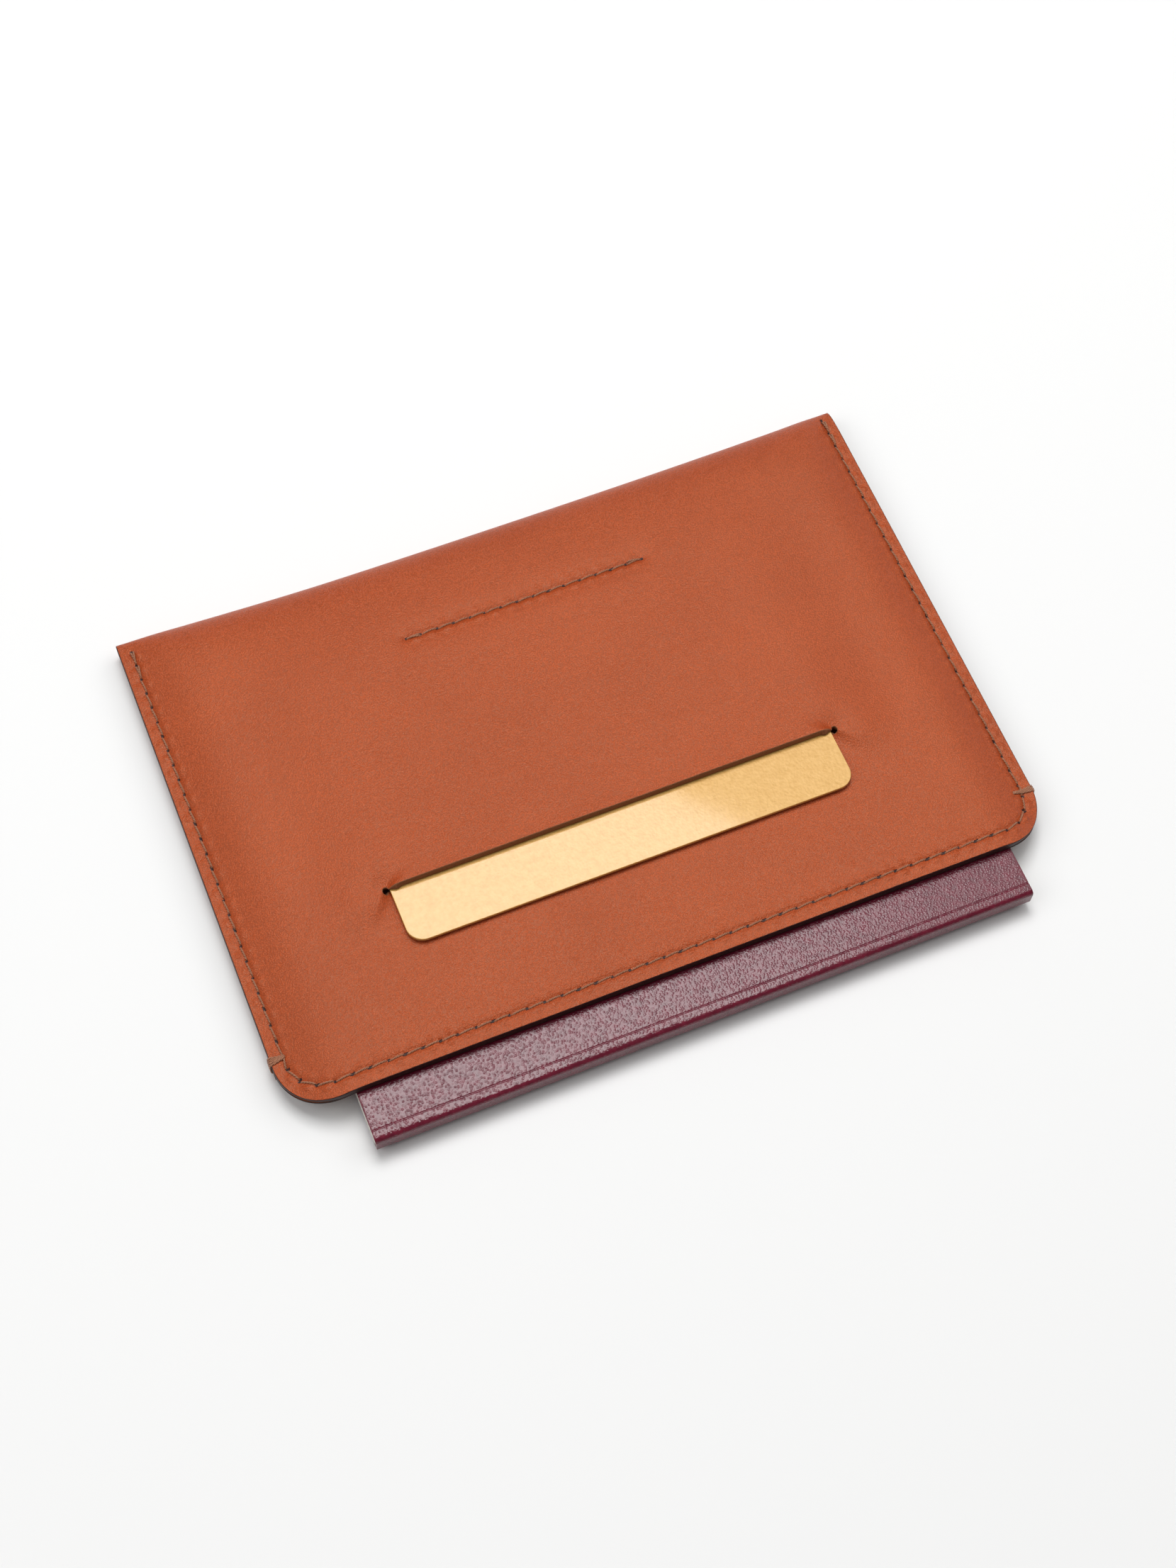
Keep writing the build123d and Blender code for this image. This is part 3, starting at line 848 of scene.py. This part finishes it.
def twisted(name, lines, ups, thickness, turn_length):
    """Two-ply thread along many lines of points; ups are the directions it lies away from."""
    lines = np.asarray(lines, float)
    ups = np.asarray(ups, float)
    tangent = np.gradient(lines, axis=1)
    tangent /= np.linalg.norm(tangent, axis=2, keepdims=True)
    side = np.cross(tangent, ups)
    side /= np.linalg.norm(side, axis=2, keepdims=True)
    over = np.cross(side, tangent)
    step = np.linalg.norm(np.diff(lines, axis=1), axis=2)
    along = np.concatenate([np.zeros((len(lines), 1)), np.cumsum(step, axis=1)], axis=1)
    ply = thickness * 0.29  # radius of each ply
    offset = thickness * 0.235  # from the thread's middle to each ply's
    turned = 0.9  # each line's twist starts this much further round than the last one's
    sides = 7
    angle = 2 * math.pi * np.arange(sides) / sides
    points, faces = [], []
    base = 0
    count = lines.shape[1]
    for k in range(len(lines)):
        for strand in (0, math.pi):
            phase = 2 * math.pi * along[k] / turn_length + strand + turned * k
            centre = (
                lines[k]
                + side[k] * (offset * np.cos(phase))[:, None]
                + over[k] * (offset * np.sin(phase))[:, None]
            )
            tube = (
                centre[:, None, :]
                + side[k][:, None, :] * (ply * np.cos(angle))[None, :, None]
                + over[k][:, None, :] * (ply * np.sin(angle))[None, :, None]
            )
            points.append(tube.reshape(-1, 3))
            ids = base + np.arange(count * sides).reshape(count, sides)
            nxt = np.roll(ids, -1, axis=1)
            body = np.stack([ids[:-1], ids[1:], nxt[1:], nxt[:-1]], -1).reshape(-1, 4)
            faces.extend(body.tolist())
            faces.append(ids[0].tolist())
            faces.append(ids[-1][::-1].tolist())
            base += count * sides
    return make_mesh(name, np.concatenate(points), faces, [THREAD])


def stitch_lines(holes, height, arch, sink, direction, slant):
    """A line for every stitch, out of one hole, over the surface and into the next.

    It starts and ends sink inside the surface and its middle is arch outside it. direction
    is 1 on the upper side and -1 below, and slant is how far it leans across the seam.
    """
    first, length = 0.09, 0.82  # where it starts and how long it is, as shares of the pitch
    u = np.linspace(0, 1, 17)
    lift = -sink + (sink + arch) * np.sin(math.pi * u) ** 0.45
    lines = []
    for a, b in zip(holes, holes[1:]):
        run = (b - a) / np.linalg.norm(b - a)
        across = np.array([-run[1], run[0]])
        plan = a + (b - a) * (first + length * u[:, None])
        plan = plan + across * (slant * (u[:, None] - 0.5))
        z = height(plan[:, 0], plan[:, 1]) + direction * lift
        lines.append(np.column_stack([plan, z]))
    ups = np.zeros((len(lines), len(u), 3))
    ups[..., 2] = direction
    return lines, ups


def doubled(holes, count, at_end, offset):
    """A back-stitched end of a seam: its stitches sewn a second time, a little to one side."""
    part = holes[-count - 1 :] if at_end else holes[: count + 1]
    run = (part[-1] - part[0]) / np.linalg.norm(part[-1] - part[0])
    return part + np.array([-run[1], run[0]]) * offset


def build_seams():
    """The four seams, each with its upper and its lower thread."""

    def back(x, _):
        return back_rise(x)

    def lining_under(x, _):
        return LINING_TOP - LINING + (EDGE_TOP - FRONT_TOP) * edge_share(x)

    # Key, name, the surface that the lower thread is on, and its arch and sink.
    plans = (
        ("left", "left_seam", back, 0.10, 0.16),
        ("right", "right_seam", back, 0.10, 0.16),
        ("hem", "hem_seam", lining_under, 0.02, 0.05),
        ("stop", "stop_seam", lining_under, 0.02, 0.05),
    )
    for key, name, under, under_arch, under_sink in plans:
        holes = SEAM_HOLES[key]
        lines, ups = stitch_lines(holes, front_height, 0.13, 0.34, 1, 0.30)
        ends = []
        if key in ("left", "right"):
            ends = [doubled(holes, 2, False, 0.22)]
        if key == "hem":
            # The seam runs on past the tacks into the side seams.
            ends = [
                np.array([SEAM_HOLES["left"][-1], holes[0]]),
                np.array([holes[-1], SEAM_HOLES["right"][-1]]),
            ]
        if key == "stop":
            ends = [doubled(holes, 1, False, -0.2), doubled(holes, 1, True, 0.2)]
        for part in ends:
            more, more_ups = stitch_lines(part, front_height, 0.24, 0.30, 1, -0.3)
            lines = lines + more
            ups = np.concatenate([ups, more_ups])
        needle = twisted(f"{name}_needle", lines, ups, 0.40, 1.1)
        ride(needle, "sleeve", f"{name}_needle_thread")
        thickness = 0.5 if key in ("left", "right") else 0.22
        lines, ups = stitch_lines(holes, under, under_arch, under_sink, -1, 0.2)
        bobbin = twisted(f"{name}_bobbin", lines, ups, thickness, 1.3)
        ride(bobbin, "sleeve", f"{name}_bobbin_thread")


def build_tacks():
    """Wraps of thread round the edge, fanning out from one hole."""
    clear = 0.12  # from the leather to the middle of the thread
    bunched = 0.12  # at the hole the fan is this share of its width
    # Side, name, half the fan's width, its middle, and how far inside the seam its hole is.
    wraps = ((-1, "left", 0.62, TACK + 1.15, 0.55), (1, "right", 0.42, TACK - 0.3, 2.1))
    for sign, name, spread, centre, reach_in in wraps:
        lines, ups = [], []
        for k, fan in enumerate((-spread, -spread / 3, spread / 3, spread)):
            inner = SIDE_SEAM - reach_in
            top = EDGE_TOP + clear + 0.05 * (k % 2)
            low = EDGE_LIFT - clear
            mid, half = (top + low) / 2, (top - low) / 2
            turn = SIDE - 0.25  # where the wraps leave the faces to go round the edge

            def on_face(u, z):
                along = bunched * fan + (1 - bunched) * fan * u
                return inner + (turn - inner) * u, along, z

            route = [on_face(u, top) for u in np.linspace(0, 1, 10)]
            up = [(0, 0, 1)] * len(route)
            route[0] = (inner - 0.05, bunched * fan, top - 0.5)
            for a in np.radians(np.linspace(10, 170, 13)):
                beyond = 0.42 * math.sin(a) ** 0.5
                route.append((turn + beyond, fan, mid + half * math.cos(a)))
                up.append((math.sin(a), 0, math.cos(a)))
            route += [on_face(u, low) for u in np.linspace(1, 0, 8)]
            up += [(0, 0, -1)] * 8
            route = np.array(route)
            route = np.column_stack([sign * route[:, 0], centre + route[:, 1], route[:, 2]])
            # On the upper face the wraps lie on the leather where it swells.
            lying = route[1:10]
            swollen = front_height(lying[:, 0], lying[:, 1]) + 0.14
            route[1:10, 2] = np.maximum(lying[:, 2], swollen)
            lines.append(route)
            ups.append(np.array(up) * np.array([sign, 1, 1]))
        tack = twisted(f"{name}_tack", lines, ups, 0.5, 1.4)
        ride(tack, "sleeve", f"{name}_bar_tack")


# --- Card -----------------------------------------------------------------------------------


def rounded_rectangle(half_x, half_y, radius, steps):
    """Outline, counter-clockwise from the lower right corner."""
    corners = ((1, -1, -90), (1, 1, 0), (-1, 1, 90), (-1, -1, 180))
    points = []
    for sx, sy, start in corners:
        cx, cy = sx * (half_x - radius), sy * (half_y - radius)
        for angle in np.radians(np.linspace(start, start + 90, steps)):
            points.append((cx + radius * math.cos(angle), cy + radius * math.sin(angle)))
    return np.array(points)


def build_card():
    """A plastic card with softened edges, lying in its slanting plane."""
    lower = ((0.10, 0), (0.03, 0.03), (0, 0.10))  # inset and height of each outline
    upper = tuple((inset, CARD_THICK - z) for inset, z in lower[::-1])
    outlines = []
    for inset, z in lower + upper:
        radius = CARD_CORNER - inset
        outline = rounded_rectangle(CARD_HALF - inset, CARD_LENGTH / 2 - inset, radius, 14)
        outlines.append(np.column_stack([outline, np.full(len(outline), z)]))
    count = len(outlines[0])
    points = np.concatenate(outlines)
    ids = np.arange(len(points)).reshape(len(outlines), count)
    nxt = np.roll(ids, -1, axis=1)
    faces = np.stack([ids[:-1], nxt[:-1], nxt[1:], ids[1:]], -1).reshape(-1, 4).tolist()
    faces += [ids[0][::-1].tolist(), ids[-1].tolist()]

    tilt = math.atan(CARD_SLOPE)
    cos, sin = math.cos(tilt), math.sin(tilt)
    middle_y = card_high[1] - CARD_LENGTH / 2 * cos - CARD_THICK * sin
    middle_z = card_low[2] + CARD_LENGTH / 2 * sin
    x = points[:, 0] + CARD_CENTRE
    y = middle_y + points[:, 1] * cos + points[:, 2] * sin
    z = middle_z - points[:, 1] * sin + points[:, 2] * cos
    card = make_mesh("gold_card", np.column_stack([x, y, z]), faces, [GOLD])
    for face in list(card.data.polygons)[-2:]:
        face.use_smooth = False
    ride(card, "card", "card")


# --- Booklet --------------------------------------------------------------------------------

COVER = 0.6  # thickness
SPINE_CREASE = 2.2  # from the spine to the crease that the cover opens on


def build_cover():
    """The booklet's cover: front board, spine and back board, creased beside the spine."""
    bulge = 0.1
    left, right = book_low[0] + bulge, book_high[0] - bulge
    spine, fore = book_low[1], book_high[1] - bulge
    low, high = book_low[2], book_high[2]
    x_line = graded([(left, 0.3), (left + 4, 0.8), (right - 4, 0.8), (right, 0.3)])
    shoulder, heel = 0.95, 0.7
    crease = spine + SPINE_CREASE

    board = graded(
        [(spine + shoulder + 0.1, 0.12), (crease + 0.6, 0.12), (fore - 5, 0.9), (fore, 0.4)]
    )[::-1]

    def quarter(radius, z, start, end, count):
        turn = np.radians(np.linspace(start, end, count))
        y = spine + radius + radius * np.cos(turn)
        return [(along, height, 0) for along, height in zip(y, z + radius * np.sin(turn))]

    # Each point is (y, z, side): 1 on the front board, -1 on the back one, 0 on the spine.
    profile = [(y, high, 1) for y in board]
    profile += quarter(shoulder, high - shoulder, 90, 180, 10)[1:]
    profile += [(spine, z, 0) for z in np.linspace(high - shoulder, low + heel, 7)[1:-1]]
    profile += quarter(heel, low + heel, 180, 270, 7)
    profile += [(y, low, -1) for y in board[::-1]]
    profile = np.array(profile)

    groove = 0.10 * bell(profile[:, 0] - crease, 0.09)
    z_line = profile[:, 1] - groove * profile[:, 2]
    on_front = (profile[:, 2] == 1)[:, None]
    x = np.broadcast_to(x_line, (len(profile), len(x_line)))
    y = np.broadcast_to(profile[:, 0][:, None], x.shape)
    z = z_line[:, None] - 0.03 * np.sin(x / 7.3) * np.sin(y / 5.0) * on_front

    centre = (left + right) / 2
    half = (right - left) / 2
    radius = CARD_CORNER - bulge
    wx, wy = round_corner(np.abs(x - centre), y, half - radius, fore - radius, radius, radius)
    x = np.where(x < centre, centre - wx, centre + wx)
    points = np.stack([x, wy, z], -1)
    # The rows run from the front board's fore-edge round the spine. In the reverse order
    # their faces point outwards.
    points = points[::-1].reshape(-1, 3)
    ids = np.arange(x.size).reshape(x.shape)
    points, faces, kind = thicken(points, grid_quads(ids), COVER, bulge)
    cover = make_mesh("cover", points, faces.tolist(), [BURGUNDY, PAPER, BURGUNDY], kind)
    ride(cover, "booklet", "booklet_cover")


def finish_pages():
    """The pages and their thread keep their CAD meshes and get a better finish."""
    names = [n for n in frame["nodes"] if n.startswith("page_sheet") or n.endswith("endpaper")]
    for name in names + ["binding_thread"]:
        obj = bpy.data.objects[name]
        obj.data.materials.clear()
        obj.data.materials.append(PAPER)


# --- Studio ---------------------------------------------------------------------------------


def view_axes(azimuth, elevation):
    """The camera's right, up and back directions."""
    az, el = math.radians(azimuth), math.radians(elevation)
    back = np.array([math.sin(az) * math.cos(el), -math.cos(az) * math.cos(el), math.sin(el)])
    right = np.array([math.cos(az), math.sin(az), 0.0])
    return right, np.cross(back, right), back


def aim(obj, right, up, back, place, turn):
    """Put an object at a place, facing away from back and turned by some degrees."""
    angle = math.radians(turn)
    matrix = np.eye(4)
    matrix[:3, 0] = right * math.cos(angle) + up * math.sin(angle)
    matrix[:3, 1] = up * math.cos(angle) - right * math.sin(angle)
    matrix[:3, 2] = back
    matrix[:3, 3] = place
    obj.matrix_world = Matrix(matrix.tolist())


def build_camera():
    """The camera that a fit to the card, the booklet and the sleeve's outline gave."""
    azimuth, elevation, roll = -25.13, 64.02, 3.22
    distance, shift_right, shift_down = 451.27, 2.04, 6.22
    right, up, back = view_axes(azimuth, elevation)
    place = (back * distance + right * shift_right - up * shift_down) * MM
    data = bpy.data.cameras.new("camera")
    data.sensor_width = 36.0
    data.lens = 55.8
    data.clip_start = 0.01
    camera = bpy.data.objects.new("camera", data)
    bpy.context.collection.objects.link(camera)
    aim(camera, right, up, back, place, roll)
    bpy.context.scene.camera = camera


def add_softbox(name, place, size, power, turn=0.0):
    """A square light facing the object, turned about its own axis by some degrees."""
    data = bpy.data.lights.new(name, "AREA")
    data.shape = "SQUARE"
    data.size = size
    data.energy = power
    light = bpy.data.objects.new(name, data)
    bpy.context.collection.objects.link(light)
    place = np.array(place, float)
    back = place / np.linalg.norm(place)
    right = np.cross((0, 1, 0), back)
    right /= np.linalg.norm(right)
    up = np.cross(back, right)
    aim(light, right, up, back, place, turn)


def build_studio():
    """A pale floor, an even world light and three soft square lights."""
    floor_material = Shader("floor", (0.88, 0.88, 0.875), 0.9).material
    bpy.ops.mesh.primitive_plane_add(size=6.0)
    floor = bpy.context.object
    floor.name = "floor"
    floor.data.materials.append(floor_material)

    world = bpy.data.worlds.new("studio")
    bpy.context.scene.world = world
    world.use_nodes = True
    background = world.node_tree.nodes["Background"]
    background.inputs["Color"].default_value = (1, 1, 1, 1)
    background.inputs["Strength"].default_value = 0.17

    # Each light's place and width are in metres and its power in watts. The overhead one's
    # right edge shows as a soft slanting line on the glossy card.
    add_softbox("overhead", (0.06, 0.36, 1.15), 0.56, 9.0, 40.0)
    add_softbox("right", (0.78, 0.13, 1.04), 1.0, 4.9)
    add_softbox("left", (-0.80, 0.05, 0.95), 0.9, 4.6)
    bpy.context.scene.view_settings.view_transform = "Standard"


build_hide()
build_lining()
build_seams()
build_tacks()
build_card()
build_cover()
finish_pages()
build_camera()
build_studio()
